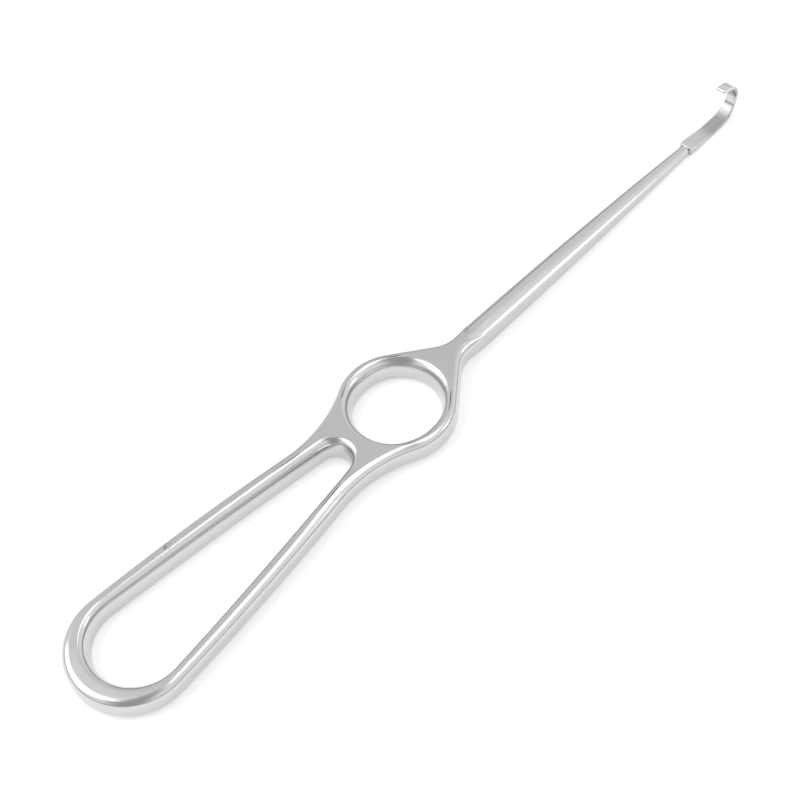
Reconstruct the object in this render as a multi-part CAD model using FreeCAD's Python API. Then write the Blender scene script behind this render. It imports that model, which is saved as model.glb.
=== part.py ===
import FreeCAD, Part
import os
from math import atan2, cos, pi, radians, sin, sqrt

# A finger-ring retractor, forged and ground from one bar of stainless steel.
# Millimetres. X runs along the shaft towards the blade, Z is up, and the handle lies flat on z = 0.
# The script works from the centre of the finger ring and moves the origin to mid length at the end.

# Handle: one flat forging that holds the long loop and the finger ring
handle_thickness = 6.2
outer_edge_round = 1.9
loop_edge_round = 1.9
ring_edge_round = 2.1
rounded_share = 0.49  # of a wall's thickness, the most that one rounded edge takes

# Loop: a long teardrop, from the round butt to the neck
butt_radius = 14.1
butt_to_ring = 79.3
flank_radius = 670.0
neck_width = 16.8
neck_radius = 32.8

# Opening of the loop
loop_butt_radius = 10.1
loop_tip_radius = 3.5
loop_flank_radius = 1240.0
butt_wall = 5.8
bridge_wall = 6.4

# Finger ring, a little longer than wide inside
ring_radius = 13.8
ring_hole_width = 19.2
ring_hole_length = 20.6
shoulder_slope = 37.5
root_radius = 7.5

# Shaft: a barrel-topped bar that thins towards the blade
shaft_reach = 107.0
shaft_width_at_ring = 5.2
shaft_width_at_blade = 2.6
crown_height_at_blade = 2.3
crown_rise_share = 0.42
shaft_edge_share = 0.2
shaft_heel_share = 0.18
even_taper_share = 0.44
shaft_lift = 0.3
shaft_sections = 6
blade_root = 1.4  # how far the shaft runs on inside the blade's heel

# Root of the shaft: the handle's section turns into the shaft's along the blend
root_straight = 0.4
root_blend = 5.5
blend_sections = 5

# Blade: a thin strip with square shoulders that ends in a hook
blade_width_at_shoulder = 3.75
blade_width_at_bend = 3.45
blade_width_at_tip = 2.5
blade_lift = 0.2
heel_thickness = 2.2
strip_thickness = 0.95
heel_flat = 1.8
ramp_length = 7.0
strip_rise = 2.5
ease_radius = 80.0
strip_run = 14.0
bend_radius = 5.8
hook_upright = 0.2
hook_radius = 5.9
hook_inner_radius = 4.6
hook_turn = 76.0
lip_length = 2.0
strip_edge_bevel = 0.2

# What counts as flat, or as no distance at all
nothing = 1e-6


def point(x, y, z=0.0):
    return FreeCAD.Vector(x, y, z)


def on_circle(centre, radius, angle):
    return centre + point(radius * cos(angle), radius * sin(angle))


def heading(start, end):
    return atan2(end.y - start.y, end.x - start.x)


def round_edge(centre, radius, start, end):
    """An arc in the plan from one angle to another."""
    middle = (start + end) / 2
    return Part.Arc(*[on_circle(centre, radius, a) for a in (start, middle, end)]).toShape()


def meeting_point(first, first_distance, second, second_distance, side):
    """The point at given distances from two others, on the +Y (1) or -Y (-1) side."""
    span = first.distanceToPoint(second)
    along = (first_distance ** 2 - second_distance ** 2 + span ** 2) / (2 * span)
    across = sqrt(first_distance ** 2 - along ** 2)
    direction = (second - first) / span
    return first + direction * along + point(-direction.y, direction.x) * (side * across)


def mirrored_face(half_edges):
    """A face whose outline is a half outline and its mirror image across the centre line."""
    other_half = [edge.mirror(point(0, 0), point(0, 1)) for edge in half_edges]
    return Part.Face(Part.Wire(Part.__sortEdges__(half_edges + other_half)))


def handle_outline():
    """Butt, bowed flank, neck, ring, straight shoulder and root, all tangent, cut off at the shaft."""
    ring = point(0, 0)
    butt = point(-butt_to_ring, 0)
    neck_height = neck_width / 2 + neck_radius
    neck = point(-sqrt((ring_radius + neck_radius) ** 2 - neck_height ** 2), neck_height)
    flank = meeting_point(butt, flank_radius - butt_radius, neck, flank_radius + neck_radius, -1)

    leaves_butt = heading(flank, butt)
    meets_neck = heading(flank, neck)
    leaves_ring = pi / 2 - radians(shoulder_slope)
    shoulder_start = on_circle(ring, ring_radius, leaves_ring)

    half_shaft = shaft_width_at_ring / 2
    root_y = half_shaft + root_radius
    root_x = (ring_radius + root_radius - sin(leaves_ring) * root_y) / cos(leaves_ring)
    root = point(root_x, root_y)
    root_start = on_circle(root, root_radius, leaves_ring + pi)
    end = root_x + root_straight

    edges = [
        round_edge(butt, butt_radius, pi, leaves_butt),
        round_edge(flank, flank_radius, leaves_butt, meets_neck),
        round_edge(neck, neck_radius, meets_neck - pi, heading(neck, ring)),
        round_edge(ring, ring_radius, heading(ring, neck), leaves_ring),
        Part.makeLine(shoulder_start, root_start),
        round_edge(root, root_radius, leaves_ring - pi, -pi / 2),
        Part.makeLine(point(root_x, half_shaft), point(end, half_shaft)),
        Part.makeLine(point(end, half_shaft), point(end, 0)),
    ]
    return mirrored_face(edges), end


def loop_opening():
    """The teardrop between butt and neck: two circles joined by long bowed flanks."""
    butt = point(-(butt_to_ring + butt_radius - butt_wall - loop_butt_radius), 0)
    tip = point(-(ring_hole_length / 2 + bridge_wall + loop_tip_radius), 0)
    flank = meeting_point(butt, loop_flank_radius - loop_butt_radius,
                          tip, loop_flank_radius - loop_tip_radius, -1)
    leaves_butt = heading(flank, butt)
    meets_tip = heading(flank, tip)
    return mirrored_face([
        round_edge(butt, loop_butt_radius, pi, leaves_butt),
        round_edge(flank, loop_flank_radius, leaves_butt, meets_tip),
        round_edge(tip, loop_tip_radius, meets_tip, 0),
    ])


def ring_opening():
    """Two half circles, set apart so that the hole is longer than it is wide."""
    radius = ring_hole_width / 2
    half_flat = (ring_hole_length - ring_hole_width) / 2
    return mirrored_face([
        round_edge(point(-half_flat, 0), radius, pi, pi / 2),
        Part.makeLine(point(-half_flat, radius), point(half_flat, radius)),
        round_edge(point(half_flat, 0), radius, pi / 2, 0),
    ])


def rim(solid, height, around):
    """The edges at one height round the outside, up to the shaft, or round one opening."""
    face = max((f for f in solid.Faces if f.BoundBox.ZLength < nothing
                and abs(f.CenterOfMass.z - height) < nothing), key=lambda f: f.Area)
    if around == "outside":
        return [edge for edge in face.OuterWire.Edges if edge.BoundBox.XLength > nothing]
    holes = [wire for wire in face.Wires if not wire.isSame(face.OuterWire)]
    side = min if around == "loop" else max
    return side(holes, key=lambda wire: wire.BoundBox.Center.x).Edges


def handle():
    """The flat forging, with both openings through it and its edges rounded up to the shaft."""
    outline, root_x = handle_outline()
    loop, ring = loop_opening(), ring_opening()
    flat = outline.cut(loop).cut(ring).Faces[0]
    solid = flat.extrude(point(0, 0, handle_thickness))

    def within_walls(radius, first, *others):
        walls = [first.OuterWire.distToShape(other.OuterWire)[0] for other in others]
        walls += [handle_thickness, shaft_width_at_ring]
        return min([radius] + [rounded_share * wall for wall in walls])

    outer_round = within_walls(outer_edge_round, outline, loop, ring)
    for around, radius in (("outside", outer_round),
                           ("loop", within_walls(loop_edge_round, loop, outline, ring)),
                           ("ring", within_walls(ring_edge_round, ring, outline, loop))):
        edges = rim(solid, 0, around) + rim(solid, handle_thickness, around)
        solid = solid.makeFillet(radius, edges)
    return solid, root_x, outer_round


def ease(share):
    """From 0 to 1 with a level start and end."""
    share = min(max(share, 0.0), 1.0)
    return share * share * (3 - 2 * share)


def half_section(half, top, low, rise, edge, heel):
    """One side of a bar cut across: stops (y, z) along heel, wall, edge and crown, from below."""
    edge_y = half - edge
    if rise > 0:
        crown_radius = (half ** 2 + rise ** 2) / (2 * rise)
        crown_z = top - crown_radius
        edge_z = crown_z + sqrt((crown_radius - edge) ** 2 - edge_y ** 2)
        leaves_crown = atan2(edge_z - crown_z, edge_y)
    else:
        edge_z = top - edge
        leaves_crown = pi / 2
    stops = []
    for y, z, radius, start, end in ((half - heel, low + heel, heel, -pi / 2, 0),
                                     (edge_y, edge_z, edge, 0, leaves_crown)):
        for angle in (start, (start + end) / 2, end):
            stops.append((y + radius * cos(angle), z + radius * sin(angle)))
    return stops + [(0, top)]


def shaft_section(x, root_x, outer_round):
    """The shaft cut across: it leaves the ring with the handle's section and becomes a barrel."""
    share = (x - root_x) / (shaft_reach + blade_root - root_x)
    half = (shaft_width_at_ring + (shaft_width_at_blade - shaft_width_at_ring) * share ** 2) / 2
    taper = even_taper_share * share + (1 - even_taper_share) * share ** 2
    top = handle_thickness + (crown_height_at_blade - handle_thickness) * taper
    barrel = half_section(half, top, shaft_lift, crown_rise_share * half,
                          shaft_edge_share * half, shaft_heel_share * half)
    handle_end = half_section(shaft_width_at_ring / 2, handle_thickness, 0, 0,
                              outer_round, outer_round)

    mix = ease((x - root_x) / root_blend)
    stops = [(y + (barrel_y - y) * mix, z + (barrel_z - z) * mix)
             for (y, z), (barrel_y, barrel_z) in zip(handle_end, barrel)]
    right = [point(x, y, z) for y, z in stops]
    left = [point(x, -y, z) for y, z in stops]
    crown = [right[5], right[6], left[5]]
    return Part.Wire([
        Part.Arc(*right[0:3]).toShape(),
        Part.makeLine(right[2], right[3]),
        Part.Arc(*right[3:6]).toShape(),
        Part.Arc(*crown).toShape() if mix > 0 else Part.makeLine(crown[0], crown[-1]),
        Part.Arc(left[5], left[4], left[3]).toShape(),
        Part.makeLine(left[3], left[2]),
        Part.Arc(left[2], left[1], left[0]).toShape(),
        Part.makeLine(left[0], right[0]),
    ])


def shaft(root_x, outer_round):
    """The blend out of the handle's square end, then the tapering bar into the blade's heel."""
    def bar(stations):
        return Part.makeLoft([shaft_section(x, root_x, outer_round) for x in stations], True, False)

    blend_end = root_x + root_blend
    blend_step = root_blend / (blend_sections - 1)
    bar_step = (shaft_reach + blade_root - blend_end) / (shaft_sections - 1)
    return [bar([root_x + blend_step * i for i in range(blend_sections)]),
            bar([blend_end + bar_step * i for i in range(shaft_sections)])]


def walk(start, steps):
    """A side of the strip: straight runs (length, 0) and upward bends (radius, degrees), tangent."""
    edges, here, angle = [], start, 0.0
    for size, turn in steps:
        if turn == 0:
            there = here + point(size * cos(angle), 0, size * sin(angle))
            edges.append(Part.makeLine(here, there))
        else:
            centre = here + point(-size * sin(angle), 0, size * cos(angle))
            stops = [angle + radians(turn) / 2, angle + radians(turn)]
            middle, there = [centre + point(size * sin(a), 0, -size * cos(a)) for a in stops]
            edges.append(Part.Arc(here, middle, there).toShape())
            angle = stops[-1]
        here = there
    return edges, here, angle


def blade():
    """The strip from its square shoulders to the blunt lip of the hook."""
    heel_run = heel_flat + ramp_length
    rest_of_run = strip_run - heel_run - ease_radius * radians(strip_rise)
    upright_turn = 90 - strip_rise
    foot = point(shaft_reach, 0, blade_lift)
    under, under_end, angle = walk(foot, [
        (heel_run, 0), (ease_radius, strip_rise), (rest_of_run, 0), (bend_radius, upright_turn),
        (hook_upright, 0), (hook_radius, hook_turn), (lip_length, 0)])
    over_start = foot + point(heel_run, 0, strip_thickness)
    over, over_end, angle = walk(over_start, [
        (ease_radius - strip_thickness, strip_rise), (rest_of_run, 0),
        (bend_radius - strip_thickness, upright_turn),
        (hook_upright, 0), (hook_inner_radius, hook_turn), (lip_length, 0)])

    half_lip = under_end.distanceToPoint(over_end) / 2
    lip = (under_end + over_end) / 2 + point(cos(angle), 0, sin(angle)) * half_lip
    heel_top = foot + point(0, 0, heel_thickness)
    ramp_top = heel_top + point(heel_flat, 0, 0)
    edges = under + [Part.Arc(under_end, lip, over_end).toShape()] + over + [
        Part.makeLine(over_start, ramp_top), Part.makeLine(ramp_top, heel_top),
        Part.makeLine(heel_top, foot)]
    side = Part.Face(Part.Wire(Part.__sortEdges__(edges)))
    side.translate(point(0, -blade_width_at_shoulder, 0))
    slab = side.extrude(point(0, 2 * blade_width_at_shoulder, 0))
    strip = slab.common(cheeks(foot, lip))

    long_edges = [e for e in strip.Edges if abs(e.CenterOfMass.y) > nothing
                  and e.BoundBox.XMax > foot.x + nothing]
    hook_end = max(v.X for v in Part.Compound(under).Vertexes)
    return strip.makeChamfer(strip_edge_bevel, long_edges), hook_end


def cheeks(foot, lip):
    """The space between the blade's ground sides, which close in towards bend and lip."""
    at_shoulder, at_tip = blade_width_at_shoulder / 2, blade_width_at_tip / 2
    per_x = (blade_width_at_shoulder - blade_width_at_bend) / 2 / strip_run
    per_z = (at_shoulder - at_tip - per_x * (lip.x - foot.x)) / lip.z
    near, far = foot.x, foot.x + strip_run + 2 * bend_radius
    low, high = 0.0, 2 * lip.z

    def slice_at(z):
        y_near = at_shoulder - per_z * z
        y_far = y_near - per_x * (far - near)
        return Part.makePolygon([point(near, -y_near, z), point(far, -y_far, z),
                                 point(far, y_far, z), point(near, y_near, z),
                                 point(near, -y_near, z)])
    return Part.makeLoft([slice_at(low), slice_at(high)], True, True)


def retractor():
    """The whole forging as one solid, with its origin at mid length on the plane it lies on."""
    grip, root_x, outer_round = handle()
    strip, hook_end = blade()
    forging = grip.fuse(shaft(root_x, outer_round) + [strip]).removeSplitter()
    print("joined into %d solid" % len(forging.Solids))
    butt_end = -(butt_to_ring + butt_radius)
    solid = forging.Solids[0]
    solid.translate(point(-(butt_end + hook_end) / 2, 0, 0))
    return solid


os.makedirs("parts", exist_ok=True)
whole = retractor()
whole.exportStep("parts/retractor.step")
box = whole.optimalBoundingBox(False)
print("retractor: %.2f x %.2f x %.2f mm, volume %.1f mm3" % (
    box.XLength, box.YLength, box.ZLength, whole.Volume))
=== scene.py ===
import math

import bmesh
import bpy
import numpy as np
from mathutils import Matrix, Vector
from mathutils.geometry import tessellate_polygon


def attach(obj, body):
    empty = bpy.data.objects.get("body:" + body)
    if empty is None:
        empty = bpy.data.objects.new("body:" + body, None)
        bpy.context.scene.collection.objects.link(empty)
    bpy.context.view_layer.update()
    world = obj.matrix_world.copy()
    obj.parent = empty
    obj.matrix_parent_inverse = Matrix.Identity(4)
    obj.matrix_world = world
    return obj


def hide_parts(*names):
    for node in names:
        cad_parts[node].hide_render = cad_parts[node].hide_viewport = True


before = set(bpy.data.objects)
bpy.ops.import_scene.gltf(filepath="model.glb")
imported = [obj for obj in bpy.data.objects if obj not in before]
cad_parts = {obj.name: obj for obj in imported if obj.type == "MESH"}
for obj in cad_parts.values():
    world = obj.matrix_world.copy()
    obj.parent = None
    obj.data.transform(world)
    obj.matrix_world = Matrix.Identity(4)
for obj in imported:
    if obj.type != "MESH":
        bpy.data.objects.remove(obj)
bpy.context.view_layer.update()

print("frame loaded:", ", ".join(sorted(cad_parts)))


# #rrggbb as sRGB to the linear colour that the shaders take
def linear(hexColour):
    channels = [int(hexColour[i:i + 2], 16) / 255 for i in (1, 3, 5)]
    return [c / 12.92 if c <= 0.04045 else ((c + 0.055) / 1.055) ** 2.4 for c in channels] + [1.0]


def addNode(tree, kind, settings=None, links=None):
    node = tree.nodes.new("ShaderNode" + kind)
    for name, value in (settings or {}).items():
        if isinstance(name, str) and hasattr(node, name):
            setattr(node, name, value)
        else:
            node.inputs[name].default_value = value
    for name, socket in (links or {}).items():
        tree.links.new(socket, node.inputs[name])
    return node


def newMaterial(name):
    material = bpy.data.materials.new(name)
    material.use_nodes = True
    material.node_tree.nodes.clear()
    return material, material.node_tree


# The handle, in millimetres from the middle of the finger ring, with +X towards the blade
handle = {
    "thickness": 6.2, "round": 1.85, "ringEdge": 1.6, "ringEdgeSpread": 6.0, "flatLeft": 0.12,
    "neckRound": 2.4, "neckMiddle": -27.0, "neckSpread": 9.0,
    "buttRadius": 14.1, "buttToRing": 79.3, "flankRadius": 670.0, "neckWidth": 16.8, "neckRadius": 32.8,
    "loopButtRadius": 10.1, "loopTipRadius": 3.5, "loopFlankRadius": 1240.0, "buttWall": 5.8,
    "bridgeWall": 6.4, "loopRound": 2.1, "loopDepth": 3.9,
    "loopTipDepth": 4.5, "loopTipPlace": -20.0, "loopTipSpread": 9.0,
    "ringRadius": 13.8, "ringHoleWidth": 19.2, "ringHoleLength": 20.6,
    "ringRound": 2.5, "ringDepth": 4.7,
    "holeLowRound": 1.2, "shoulderSlope": 37.5, "rootRadius": 7.5, "rootStraight": 0.4,
    "step": 0.5, "roundSteps": 14, "wallSteps": 3, "smoothings": 12, "sharpAbove": 35, "weldDecimals": 4,
}

# The shaft leaves the handle with the handle's own section and becomes a tapering barrel
shaft = {
    "reach": 107.0, "widthAtRing": 5.2, "widthAtBlade": 2.6, "heightAtBlade": 2.3, "crownRise": 0.42,
    "edgeShare": 0.2, "heelShare": 0.18, "evenTaper": 0.44, "lift": 0.3, "blend": 5.5,
    "crownSteps": 8, "soleSteps": 4,
}

# The blade: square shoulders, a ramp down to the thin strip, the upward bend and the blunt hook
blade = {
    "widthAtShoulder": 3.75, "widthAtBend": 3.45, "widthAtTip": 2.5, "lift": 0.2, "heel": 2.2,
    "thickness": 0.95, "heelFlat": 1.8, "ramp": 7.0, "rise": 2.5, "easeRadius": 80.0, "run": 14.0,
    "bendRadius": 5.8, "upright": 0.2, "hookRadius": 5.9, "hookInnerRadius": 4.6, "hookTurn": 76.0,
    "lip": 2.0, "edgeRound": 0.2, "shoulderRound": 0.06, "step": 0.25, "cornerSteps": 4,
    "sideSteps": 2, "faceSteps": 6, "heelSteps": 6, "lipSteps": 8, "leastHeight": 1e-6,
}


def heading(start, end):
    return math.atan2(end[1] - start[1], end[0] - start[0])


# Points of an arc, each with the direction out of the metal: (x, y, outward x, outward y)
def arcRows(centre, radius, start, end, hollow=False):
    count = max(3, math.ceil(abs(end - start) * radius / handle["step"]))
    side = -1 if hollow else 1
    angles = [start + (end - start) * i / count for i in range(count + 1)]
    return [(centre[0] + radius * math.cos(a), centre[1] + radius * math.sin(a),
             side * math.cos(a), side * math.sin(a)) for a in angles]


def lineRows(start, end, outward):
    count = max(2, math.ceil(math.dist(start, end) / handle["step"]))
    return [(start[0] + (end[0] - start[0]) * i / count, start[1] + (end[1] - start[1]) * i / count,
             *outward) for i in range(count + 1)]


# The point at given distances from two others, below the line that joins them
def meetingPoint(first, firstDistance, second, secondDistance):
    span = math.dist(first, second)
    along = (firstDistance ** 2 - secondDistance ** 2 + span ** 2) / (2 * span)
    across = math.sqrt(firstDistance ** 2 - along ** 2)
    ux, uy = (second[0] - first[0]) / span, (second[1] - first[1]) / span
    return first[0] + ux * along + uy * across, first[1] + uy * along - ux * across


def joined(parts):
    return parts[0] + [row for part in parts[1:] for row in part[1:]]


def mirrored(rows):
    return [(x, -y, nx, -ny) for x, y, nx, ny in rows]


# The outside, from the shaft's far side round the butt to its near side, and where the shaft begins
def outlineRows():
    h = handle
    ring, butt = (0.0, 0.0), (-h["buttToRing"], 0.0)
    neckHeight = h["neckWidth"] / 2 + h["neckRadius"]
    neck = (-math.sqrt((h["ringRadius"] + h["neckRadius"]) ** 2 - neckHeight ** 2), neckHeight)
    flank = meetingPoint(butt, h["flankRadius"] - h["buttRadius"],
                         neck, h["flankRadius"] + h["neckRadius"])
    leavesButt, meetsNeck = heading(flank, butt), heading(flank, neck)
    leavesRing = math.pi / 2 - math.radians(h["shoulderSlope"])
    outward = (math.cos(leavesRing), math.sin(leavesRing))
    halfShaft = shaft["widthAtRing"] / 2
    rootY = halfShaft + h["rootRadius"]
    rootX = (h["ringRadius"] + h["rootRadius"] - outward[1] * rootY) / outward[0]
    shoulderStart = (h["ringRadius"] * outward[0], h["ringRadius"] * outward[1])
    rootStart = (rootX - h["rootRadius"] * outward[0], rootY - h["rootRadius"] * outward[1])
    half = joined([
        arcRows(butt, h["buttRadius"], math.pi, leavesButt),
        arcRows(flank, h["flankRadius"], leavesButt, meetsNeck),
        arcRows(neck, h["neckRadius"], meetsNeck - math.pi, heading(neck, ring), hollow=True),
        arcRows(ring, h["ringRadius"], heading(ring, neck), leavesRing),
        lineRows(shoulderStart, rootStart, outward),
        arcRows((rootX, rootY), h["rootRadius"], leavesRing - math.pi, -math.pi / 2, hollow=True),
        lineRows((rootX, halfShaft), (rootX + h["rootStraight"], halfShaft), (0, 1)),
    ])
    return half[::-1] + mirrored(half)[1:], rootX + h["rootStraight"]


def loopRows():
    h = handle
    butt = (-(h["buttToRing"] + h["buttRadius"] - h["buttWall"] - h["loopButtRadius"]), 0.0)
    tip = (-(h["ringHoleLength"] / 2 + h["bridgeWall"] + h["loopTipRadius"]), 0.0)
    flank = meetingPoint(butt, h["loopFlankRadius"] - h["loopButtRadius"],
                         tip, h["loopFlankRadius"] - h["loopTipRadius"])
    half = joined([
        arcRows(butt, h["loopButtRadius"], math.pi, heading(flank, butt), hollow=True),
        arcRows(flank, h["loopFlankRadius"], heading(flank, butt), heading(flank, tip), hollow=True),
        arcRows(tip, h["loopTipRadius"], heading(flank, tip), 0, hollow=True),
    ])
    return half + mirrored(half)[-2:0:-1]


def ringRows():
    radius = handle["ringHoleWidth"] / 2
    flat = (handle["ringHoleLength"] - handle["ringHoleWidth"]) / 2
    half = joined([
        arcRows((-flat, 0), radius, math.pi, math.pi / 2, hollow=True),
        lineRows((-flat, radius), (flat, radius), (0, -1)),
        arcRows((flat, 0), radius, math.pi / 2, 0, hollow=True),
    ])
    return half + mirrored(half)[-2:0:-1]


# How wide an opening's upper edge is rounded: as asked, where the wall to the outside leaves room
def roundWidths(rows, asked, outline, edge):
    own, far = np.array(rows)[:, :2], np.array(outline)[:, :2]
    wall = np.sqrt(((own[:, None, :] - far[None, :, :]) ** 2).sum(2)).min(1)
    widths = np.minimum(asked, wall - edge - handle["flatLeft"])
    for _ in range(handle["smoothings"]):
        widths = (np.roll(widths, 1) + widths + np.roll(widths, -1)) / 3
    return widths


# How near a place is to another along X, from 0 to 1
def nearness(x, place, spread):
    return math.exp(-((x - place) / spread) ** 2)


# One closed skin: points are shared where its parts meet
class Skin:
    def __init__(self):
        self.points, self.faces, self.found = [], [], {}

    def add(self, x, y, z):
        key = tuple(round(value, handle["weldDecimals"]) for value in (x, y, z))
        if key not in self.found:
            self.found[key] = len(self.points)
            self.points.append((x, y, z))
        return self.found[key]

    def face(self, corners):
        kept = [c for i, c in enumerate(corners) if c != corners[i - 1]]
        if len(kept) > 2:
            self.faces.append(kept)

    def grid(self, rows, closed=False):
        for i in range(len(rows) if closed else len(rows) - 1):
            first, second = rows[i], rows[(i + 1) % len(rows)]
            for j in range(len(first) - 1):
                self.face([first[j], second[j], second[j + 1], first[j + 1]])

    # A flat face, its outer loop first and then its holes
    def plate(self, loops):
        flat = [index for loop in loops for index in loop]
        corners = [[Vector(self.points[index]) for index in loop] for loop in loops]
        for triangle in tessellate_polygon(corners):
            self.face([flat[i] for i in triangle])


# A rim of the handle, from the upper flat over both rounds to the lower flat
def rimRows(skin, rows, widths, depths, low):
    h = handle
    quarter = [math.pi / 2 * i / h["roundSteps"] for i in range(h["roundSteps"] + 1)]
    grid = []
    for (x, y, nx, ny), width, depth in zip(rows, widths, depths):
        top = h["thickness"] - depth
        column = [(width * (1 - math.sin(a)), top + depth * math.cos(a)) for a in quarter]
        column += [(0, top + (low - top) * i / h["wallSteps"]) for i in range(1, h["wallSteps"])]
        column += [(low * (1 - math.cos(a)), low * (1 - math.sin(a))) for a in quarter]
        grid.append([skin.add(x - nx * inward, y - ny * inward, z) for inward, z in column])
    return grid


# Half of the bar cut across, (y, z) from the middle of its sole to the middle of its crown
def halfSection(half, top, low, rise, edge, heel):
    edgeY = half - edge
    if rise > 0:
        crown = (half ** 2 + rise ** 2) / (2 * rise)
        edgeZ = top - crown + math.sqrt((crown - edge) ** 2 - edgeY ** 2)
        leaves = math.atan2(edgeZ - top + crown, edgeY)
    else:
        edgeZ, leaves = top - edge, math.pi / 2
    steps, walls, soles, crowns = (handle["roundSteps"], handle["wallSteps"],
                                   shaft["soleSteps"], shaft["crownSteps"])
    stops = [((half - heel) * i / soles, low) for i in range(soles)]
    stops += [(half - heel + heel * math.sin(math.pi / 2 * i / steps),
               low + heel - heel * math.cos(math.pi / 2 * i / steps)) for i in range(steps + 1)]
    stops += [(half, low + heel + (edgeZ - low - heel) * i / walls) for i in range(1, walls)]
    stops += [(edgeY + edge * math.cos(leaves * i / steps),
               edgeZ + edge * math.sin(leaves * i / steps)) for i in range(steps + 1)]
    if rise > 0:
        angles = [leaves + (math.pi / 2 - leaves) * i / crowns for i in range(1, crowns + 1)]
        return stops + [(crown * math.cos(a), top - crown + crown * math.sin(a)) for a in angles]
    return stops + [(edgeY * (1 - i / crowns), top) for i in range(1, crowns + 1)]


def shaftSection(x, rootX):
    s = shaft
    share = (x - rootX) / (s["reach"] - rootX)
    half = (s["widthAtRing"] + (s["widthAtBlade"] - s["widthAtRing"]) * share ** 2) / 2
    taper = s["evenTaper"] * share + (1 - s["evenTaper"]) * share ** 2
    top = handle["thickness"] + (s["heightAtBlade"] - handle["thickness"]) * taper
    barrel = halfSection(half, top, s["lift"], s["crownRise"] * half, s["edgeShare"] * half,
                         s["heelShare"] * half)
    handleEnd = halfSection(s["widthAtRing"] / 2, handle["thickness"], 0, 0,
                            handle["round"], handle["round"])
    mix = min(1, (x - rootX) / s["blend"])
    mix = mix * mix * (3 - 2 * mix)
    right = [(a + (c - a) * mix, b + (d - b) * mix) for (a, b), (c, d) in zip(handleEnd, barrel)]
    return right + [(-y, z) for y, z in right[-2:0:-1]]


# A side of the strip: straight runs (length, 0) and upward bends (radius, turn), each tangent
def walk(start, steps, counts):
    stops, (x, z), angle = [start], start, 0.0
    for (size, turn), count in zip(steps, counts):
        centre = (x - size * math.sin(angle), z + size * math.cos(angle))
        for i in range(1, count + 1):
            if turn == 0:
                stops.append((x + size * math.cos(angle) * i / count,
                              z + size * math.sin(angle) * i / count))
            else:
                a = angle + math.radians(turn) * i / count
                stops.append((centre[0] + size * math.sin(a), centre[1] - size * math.cos(a)))
        angle += math.radians(turn)
        x, z = stops[-1]
    return stops, angle


# The blade's lower and upper side from the shoulder to the end of the lip, point by point
def bladeSides():
    b = blade
    x, z = shaft["reach"], b["lift"]
    heelRun = b["heelFlat"] + b["ramp"]
    restOfRun = b["run"] - heelRun - b["easeRadius"] * math.radians(b["rise"])
    upright = 90 - b["rise"]
    lowerRuns = [(b["ramp"], 0), (b["easeRadius"], b["rise"]), (restOfRun, 0),
                 (b["bendRadius"], upright), (b["upright"], 0),
                 (b["hookRadius"], b["hookTurn"]), (b["lip"], 0)]
    upperRuns = [(b["easeRadius"] - b["thickness"], b["rise"]), (restOfRun, 0),
                 (b["bendRadius"] - b["thickness"], upright), (b["upright"], 0),
                 (b["hookInnerRadius"], b["hookTurn"]), (b["lip"], 0)]
    lengths = [size * math.radians(turn) if turn else size for size, turn in lowerRuns]
    counts = [max(2, math.ceil(length / b["step"])) for length in lengths]
    under, angle = walk((x + b["heelFlat"], z), lowerRuns, counts)
    over, angle = walk((x + heelRun, z + b["thickness"]), upperRuns, counts[1:])
    rampDown = [(x + b["heelFlat"] + b["ramp"] * i / counts[0],
                 z + b["heel"] + (b["thickness"] - b["heel"]) * i / counts[0]) for i in range(counts[0])]
    flats = [b["shoulderRound"] + (b["heelFlat"] - b["shoulderRound"]) * i / b["heelSteps"]
             for i in range(b["heelSteps"])]
    under = [(x + flat, z) for flat in flats] + under
    over = [(x + flat, z + b["heel"]) for flat in flats] + rampDown + over

    # the lip ends in a half round
    (lowX, lowZ), (highX, highZ) = under[-1], over[-1]
    middle, radius = ((lowX + highX) / 2, (lowZ + highZ) / 2), math.dist(under[-1], over[-1]) / 2
    ahead = (math.cos(angle), math.sin(angle))
    across = ((lowX - highX) / 2 / radius, (lowZ - highZ) / 2 / radius)
    for i in range(1, b["lipSteps"] + 1):
        forward = radius * math.sin(math.pi / 2 * i / b["lipSteps"])
        aside = radius * math.cos(math.pi / 2 * i / b["lipSteps"])
        for side, sign in ((under, 1), (over, -1)):
            side.append((middle[0] + ahead[0] * forward + sign * across[0] * aside,
                         middle[1] + ahead[1] * forward + sign * across[1] * aside))
    return under, over


# Half the blade's width at a point of its side: it closes in towards bend and lip
def halfWidth(x, z, lip):
    b = blade
    perX = (b["widthAtShoulder"] - b["widthAtBend"]) / 2 / b["run"]
    perZ = ((b["widthAtShoulder"] - b["widthAtTip"]) / 2 - perX * (lip[0] - shaft["reach"])) / lip[1]
    return b["widthAtShoulder"] / 2 - perZ * z - perX * (x - shaft["reach"])


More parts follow.
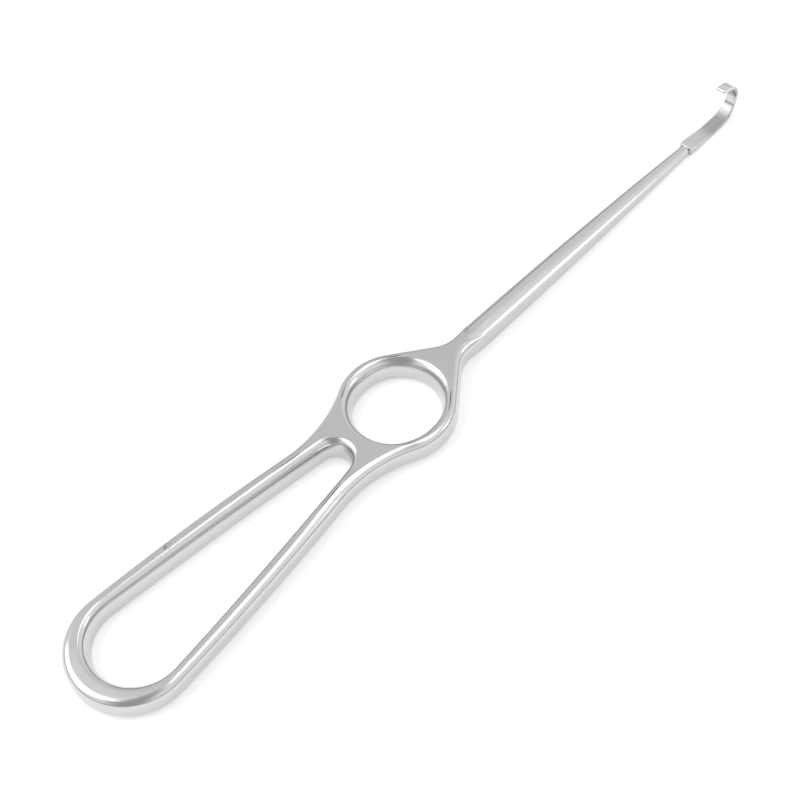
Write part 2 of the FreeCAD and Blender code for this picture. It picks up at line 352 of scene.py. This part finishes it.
# The blade cut across between a point of its lower and one of its upper side
def bladeSection(skin, low, high, lip, inset=0.0):
    b = blade
    height, up = math.dist(low, high), (0, 1)
    if height > b["leastHeight"]:
        up = ((high[0] - low[0]) / height, (high[1] - low[1]) / height)
    edge, n = min(b["edgeRound"], height / 2), b["cornerSteps"]
    stops = []
    for half, level, start in ((halfWidth(*low, lip) - inset, inset + edge, -math.pi / 2),
                               (halfWidth(*high, lip) - inset, height - inset - edge, 0)):
        for i in range(n + 1):
            a = start + math.pi / 2 * i / n
            stops.append((half - edge + edge * math.cos(a), level + edge * math.sin(a)))
    between = [(stops[n][0] + (stops[n + 1][0] - stops[n][0]) * i / b["sideSteps"],
                stops[n][1] + (stops[n + 1][1] - stops[n][1]) * i / b["sideSteps"])
               for i in range(1, b["sideSteps"])]
    right = stops[:n + 1] + between + stops[n + 1:]
    shares = [1 - 2 * i / b["faceSteps"] for i in range(1, b["faceSteps"])]
    around = right + [(right[-1][0] * share, right[-1][1]) for share in shares]
    around += [(-y, z) for y, z in right[::-1]]
    around += [(-right[0][0] * share, right[0][1]) for share in shares]
    return [skin.add(low[0] + up[0] * z, y, low[1] + up[1] * z) for y, z in around]


def buildRetractor():
    h, skin = handle, Skin()
    outline, rootX = outlineRows()
    loop, ring = loopRows(), ringRows()
    widths = [h["round"]
              + (h["neckRound"] - h["round"]) * nearness(row[0], h["neckMiddle"], h["neckSpread"])
              + (h["ringEdge"] - h["round"]) * nearness(row[0], 0, h["ringEdgeSpread"]) for row in outline]
    loopDepths = [h["loopDepth"] + (h["loopTipDepth"] - h["loopDepth"])
                  * nearness(row[0], h["loopTipPlace"], h["loopTipSpread"]) for row in loop]
    outside = rimRows(skin, outline, widths, [h["round"]] * len(outline), h["round"])
    loopWidths = roundWidths(loop, h["loopRound"], outline, h["round"])
    ringWidths = roundWidths(ring, h["ringRound"], outline, h["ringEdge"])
    holes = [rimRows(skin, loop, loopWidths, loopDepths, h["holeLowRound"]),
             rimRows(skin, ring, ringWidths, [h["ringDepth"]] * len(ring), h["holeLowRound"])]
    skin.grid(outside)
    for hole in holes:
        skin.grid(hole, closed=True)

    count = math.ceil((shaft["reach"] - rootX) / h["step"])
    stations = [rootX + (shaft["reach"] - rootX) * i / count for i in range(count + 1)]
    bar = [[skin.add(x, y, z) for y, z in shaftSection(x, rootX)] for x in stations]
    skin.grid([section + section[:1] for section in bar])

    # both flats of the handle run out between the edges of the shaft's first section
    first, crown, sole = bar[0], shaft["crownSteps"], shaft["soleSteps"]
    middle = len(first) // 2
    topLoop = [row[0] for row in outside] + first[middle - crown + 1:middle + crown][::-1]
    lowLoop = [row[-1] for row in outside] + first[-sole + 1:] + first[:sole]
    skin.plate([topLoop] + [[row[0] for row in hole] for hole in holes])
    skin.plate([lowLoop] + [[row[-1] for row in hole] for hole in holes])
    flats = set(topLoop + lowLoop + [row[end] for hole in holes for row in hole for end in (0, -1)])

    under, over = bladeSides()
    foot, lip = (shaft["reach"], blade["lift"]), under[-1]
    shoulder = bladeSection(skin, foot, (foot[0], foot[1] + blade["heel"]), lip, blade["shoulderRound"])
    rows = [shoulder] + [bladeSection(skin, low, high, lip) for low, high in zip(under, over)]
    skin.grid([row + row[:1] for row in rows])
    skin.plate([shoulder, bar[-1]])

    # from millimetres at the ring to metres at mid length
    ends = [x for x, y, z in skin.points]
    shift = -(min(ends) + max(ends)) / 2
    points = [((x + shift) / 1000, y / 1000, z / 1000) for x, y, z in skin.points]
    mesh = bpy.data.meshes.new("retractorSteel")
    mesh.from_pydata(points, [], skin.faces)
    piece = bpy.data.objects.new("retractorSteel", mesh)
    bpy.context.collection.objects.link(piece)
    return piece, flats


# All faces outward, smooth except over sharp corners, and the flats truly flat to their edges
def finishSkin(piece, flats):
    mesh = piece.data
    work = bmesh.new()
    work.from_mesh(mesh)
    bmesh.ops.recalc_face_normals(work, faces=work.faces)
    openEdges = sum(len(edge.link_faces) != 2 for edge in work.edges)
    print("skin:", len(work.verts), "points,", len(work.faces), "faces,", openEdges, "open edges")
    work.to_mesh(mesh)
    work.free()
    mesh.shade_smooth()
    mesh.set_sharp_from_angle(angle=math.radians(handle["sharpAbove"]))
    normals = [corner.vector.copy() for corner in mesh.corner_normals]
    for corner, loop in enumerate(mesh.loops):
        if loop.vertex_index in flats:
            onTop = mesh.vertices[loop.vertex_index].co.z * 1000 > handle["thickness"] / 2
            normals[corner] = Vector((0, 0, 1 if onTop else -1))
    mesh.normals_split_custom_set(normals)


# Martensitic stainless steel, forged, ground along its length and satin polished: the eye sees soft,
# slightly wavy highlights with a fine grain along the shaft, a matte ground ramp on the blade, and
# behind it a darker, matte strip with a few pits; inside the hook the colour is darkened as painted shade.
# A small worn mark lies on the far leg. Lengths in metres; ramp and strip are stretches of X, low and hook
# of Z
steel = {
    "name": "satinPolishedStainlessSteel",
    "colour": "#cccccc", "roughness": (0.17, 0.23), "cloudSize": 0.004, "cloudSpread": (0.3, 0.7),
    "grainAlong": 0.012, "grainAcross": 0.00018, "grainDepth": 0.0000022,
    "waveSize": 0.009, "waveDepth": 0.00003,
    "ramp": (0.0902, 0.0908, 0.0975, 0.1), "rampColour": "#cbcbcb", "rampRoughness": 0.38,
    "strip": (0.097, 0.1, 0.1073, 0.1083), "stripColour": "#b0b0b0", "stripRoughness": 0.46,
    "low": (-0.002, -0.001, 0.005, 0.0065),
    # hook: where the inside of the hook gets a darker colour, painted shade for its hollow
    "hook": (0.006, 0.0068, 0.0095, 0.0108), "hookShadeColour": "#a0a0a0",
    "pitSpacing": 0.0012, "pitSize": 0.00022, "pitColour": "#505050",
    "markPlace": (-0.0759, 0.0110, 0.0062), "markSize": 0.0013, "markColour": "#8e8e8e",
    "markGrain": 0.0006, "markSpread": (0.42, 0.6),
}


def multiply(tree, first, second):
    return addNode(tree, "Math", {"operation": "MULTIPLY"}, {0: first, 1: second}).outputs[0]


# 1 on a stretch, fading in and out between the four given places
def stretch(tree, along, places):
    rise = addNode(tree, "MapRange", {"From Min": places[0], "From Max": places[1]}, {"Value": along})
    fall = addNode(tree, "MapRange", {"From Min": places[3], "From Max": places[2]}, {"Value": along})
    return multiply(tree, rise.outputs["Result"], fall.outputs["Result"])


def makeSteel():
    s = steel
    material, tree = newMaterial(s["name"])
    place = addNode(tree, "TexCoord").outputs["Object"]
    split = addNode(tree, "SeparateXYZ", links={0: place})
    onRamp, along, low, inHookShade = (stretch(tree, split.outputs[axis], s[part]) for axis, part in (
        ("X", "ramp"), ("X", "strip"), ("Z", "low"), ("Z", "hook")))
    onStrip = multiply(tree, along, low)

    pitCells = addNode(tree, "TexVoronoi", {"Scale": 1 / s["pitSpacing"]}, {"Vector": place})
    pitEdge = s["pitSize"] / s["pitSpacing"]
    pit = addNode(tree, "MapRange", {"From Min": pitEdge, "From Max": pitEdge / 2}, {
        "Value": pitCells.outputs["Distance"]})
    inPit = multiply(tree, pit.outputs["Result"], onStrip)

    specks = addNode(tree, "TexNoise", {"Scale": 1 / s["markGrain"], "Detail": 2.0}, {"Vector": place})
    speck = addNode(tree, "MapRange", {
        "From Min": s["markSpread"][0], "From Max": s["markSpread"][1]}, {"Value": specks.outputs[0]})
    away = addNode(tree, "VectorMath", {"operation": "DISTANCE", 1: s["markPlace"]}, {0: place})
    near = addNode(tree, "MapRange", {"From Min": s["markSize"], "From Max": s["markSize"] / 3}, {
        "Value": away.outputs["Value"]})
    onMark = multiply(tree, near.outputs["Result"], speck.outputs["Result"])

    clouds = addNode(tree, "TexNoise", {"Scale": 1 / s["cloudSize"], "Detail": 3.0}, {"Vector": place})
    polish = addNode(tree, "MapRange", {
        "From Min": s["cloudSpread"][0], "From Max": s["cloudSpread"][1],
        "To Min": s["roughness"][0], "To Max": s["roughness"][1]}, {"Value": clouds.outputs[0]})
    roughness = polish.outputs["Result"]
    for share, value in ((onRamp, "rampRoughness"), (onStrip, "stripRoughness")):
        roughness = addNode(tree, "Mix", {"data_type": "FLOAT", "B": s[value]}, {
            "Factor": share, "A": roughness}).outputs["Result"]

    # a Mix node's colours are its inputs 6 and 7 and its output 2
    colour = addNode(tree, "Mix", {
        "data_type": "RGBA", 6: linear(s["colour"]), 7: linear(s["rampColour"])}, {0: onRamp}).outputs[2]
    # inside the hook the colour is darkened: painted shade, not a stain
    for share, value in ((onStrip, "stripColour"), (inHookShade, "hookShadeColour"), (inPit, "pitColour"),
                         (onMark, "markColour")):
        colour = addNode(tree, "Mix", {"data_type": "RGBA", 7: linear(s[value])}, {
            0: share, 6: colour}).outputs[2]

    lines = addNode(tree, "Mapping", {
        "Scale": (1 / s["grainAlong"], 1 / s["grainAcross"], 1 / s["grainAcross"])}, {"Vector": place})
    grain = addNode(tree, "TexNoise", {"Scale": 1.0, "Detail": 2.0}, {"Vector": lines.outputs[0]})
    waves = addNode(tree, "TexNoise", {"Scale": 1 / s["waveSize"], "Detail": 1.0}, {"Vector": place})
    wavy = addNode(tree, "Bump", {"Distance": s["waveDepth"]}, {"Height": waves.outputs[0]})
    grained = addNode(tree, "Bump", {"Distance": s["grainDepth"]}, {
        "Height": grain.outputs[0], "Normal": wavy.outputs[0]})

    shader = addNode(tree, "BsdfPrincipled", {"Metallic": 1.0}, {
        "Base Color": colour, "Roughness": roughness, "Normal": grained.outputs[0]})
    addNode(tree, "OutputMaterial", links={"Surface": shader.outputs[0]})
    return material


retractor, flats = buildRetractor()
finishSkin(retractor, flats)
retractor.data.materials.append(makeSteel())
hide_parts("retractor")
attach(retractor, "root")
print("retractor built, steel on it")

# A pale table under it, white to the eye and in the steel, that still takes the contact shadow
table = {"halfSize": 2.0, "colour": "#d9d9d9", "glow": 0.4}


def makeTable():
    mesh = bpy.data.meshes.new("table")
    h = table["halfSize"]
    mesh.from_pydata([(-h, -h, 0), (h, -h, 0), (h, h, 0), (-h, h, 0)], [], [(0, 1, 2, 3)])
    piece = bpy.data.objects.new("table", mesh)
    bpy.context.collection.objects.link(piece)

    material, tree = newMaterial("paleTable")
    paint = addNode(tree, "BsdfDiffuse", {"Color": linear(table["colour"])})
    path = addNode(tree, "LightPath")
    seen = addNode(tree, "Math", {"operation": "MAXIMUM"}, {
        0: path.outputs["Is Camera Ray"], 1: path.outputs["Is Glossy Ray"]})
    glow = addNode(tree, "Math", {"operation": "MULTIPLY", 1: table["glow"]}, {0: seen.outputs[0]})
    light = addNode(tree, "Emission", {"Color": (1, 1, 1, 1)}, {"Strength": glow.outputs[0]})
    both = addNode(tree, "AddShader", links={0: paint.outputs[0], 1: light.outputs[0]})
    addNode(tree, "OutputMaterial", links={"Surface": both.outputs[0]})
    mesh.materials.append(material)


makeTable()

# The studio: a pale room with soft darker zones, and three soft lamps. Angles in degrees, lengths
# in metres; a zone has its level up to inner degrees from its middle and fades out at outer
room = {"level": 1.06, "zones": [
    {"azimuth": 60, "elevation": 50, "inner": 15, "outer": 50, "level": 0.88},
    {"azimuth": 57, "elevation": 4, "inner": 8, "outer": 22, "level": 0.55},
    {"azimuth": 0, "elevation": -90, "inner": 94, "outer": 103, "level": 0.32},
    {"azimuth": -143, "elevation": 28, "inner": 10, "outer": 34, "level": 0.44},
    {"azimuth": -143, "elevation": 60, "inner": 10, "outer": 32, "level": 0.44},
    {"azimuth": -175, "elevation": 80, "inner": 8, "outer": 20, "level": 0.48},
]}
lamps = {
    "softboxLeft": {"azimuth": 134, "elevation": 47, "away": 1.2, "size": (0.95, 1.05), "radiance": 2.1},
    "stripAbove": {"azimuth": -15, "elevation": 74, "away": 1.2, "size": (0.85, 0.3), "radiance": 1.8},
    "stripRight": {"azimuth": -46, "elevation": 34, "away": 1.2, "size": (0.26, 0.32), "radiance": 2.0},
}


def direction(azimuth, elevation):
    turn, lift = math.radians(azimuth), math.radians(elevation)
    return Vector((math.cos(turn) * math.cos(lift), math.sin(turn) * math.cos(lift), math.sin(lift)))


def makeRoom():
    world = bpy.data.worlds.new("studio")
    bpy.context.scene.world = world
    world.use_nodes = True
    tree = world.node_tree
    tree.nodes.clear()
    place = addNode(tree, "TexCoord").outputs["Generated"]
    level = None
    for zone in room["zones"]:
        facing = addNode(tree, "VectorMath", {
            "operation": "DOT_PRODUCT", 1: direction(zone["azimuth"], zone["elevation"])}, {0: place})
        share = addNode(tree, "MapRange", {
            "interpolation_type": "SMOOTHSTEP", "From Min": math.cos(math.radians(zone["outer"])),
            "From Max": math.cos(math.radians(zone["inner"]))}, {"Value": facing.outputs["Value"]})
        mix = addNode(tree, "Mix", {"data_type": "FLOAT", "A": room["level"], "B": zone["level"]}, {
            "Factor": share.outputs["Result"]})
        if level:
            tree.links.new(level, mix.inputs["A"])
        level = mix.outputs["Result"]
    path = addNode(tree, "LightPath")
    strength = addNode(tree, "Mix", {"data_type": "FLOAT", "B": 1.0}, {
        "Factor": path.outputs["Is Camera Ray"], "A": level})
    light = addNode(tree, "Background", {"Color": (1, 1, 1, 1)}, {"Strength": strength.outputs["Result"]})
    addNode(tree, "OutputWorld", links={"Surface": light.outputs[0]})


def makeLamp(name, facts):
    towards = direction(facts["azimuth"], facts["elevation"])
    width, height = facts["size"]
    data = bpy.data.lights.new(name, "AREA")
    data.shape = "RECTANGLE"
    data.size, data.size_y = width, height
    data.energy = facts["radiance"] * math.pi * width * height
    lamp = bpy.data.objects.new(name, data)
    lamp.location = towards * facts["away"]
    lamp.rotation_euler = towards.to_track_quat("Z", "Y").to_euler()
    bpy.context.collection.objects.link(lamp)


makeRoom()
for lampName, lampFacts in lamps.items():
    makeLamp(lampName, lampFacts)
print("studio lit")

# The camera of the photograph: angles in degrees, the lens in millimetres, the rest in metres; the
# offset is the finger ring's centre as the camera sees it
view = {
    "turn": 43.1849, "down": 54.4276, "roll": -4.9253, "lens": 69.817, "sensor": 36,
    "offset": (-0.0005507, -0.0035326, 0.3501823), "ringCentre": (-0.016572, 0, 0),
}


def makeCamera():
    turn, down, roll = (math.radians(view[k]) for k in ("turn", "down", "roll"))
    right = Vector((1, 0, 0))
    up = Vector((0, math.sin(down), math.cos(down)))
    ahead = Vector((0, math.cos(down), -math.sin(down)))
    rows = Matrix((math.cos(roll) * right + math.sin(roll) * up,
                   math.cos(roll) * up - math.sin(roll) * right, ahead))
    seen = rows @ Matrix.Rotation(turn, 3, "Z")
    place = Vector(view["ringCentre"]) - seen.transposed() @ Vector(view["offset"])
    axes = Matrix((seen[0], seen[1], -seen[2])).transposed()
    data = bpy.data.cameras.new("camera")
    data.lens = view["lens"]
    data.sensor_width = view["sensor"]
    camera = bpy.data.objects.new("camera", data)
    camera.matrix_world = Matrix.Translation(place) @ axes.to_4x4()
    bpy.context.collection.objects.link(camera)
    bpy.context.scene.camera = camera


makeCamera()
bpy.context.scene.view_settings.view_transform = "Standard"
print("camera set")
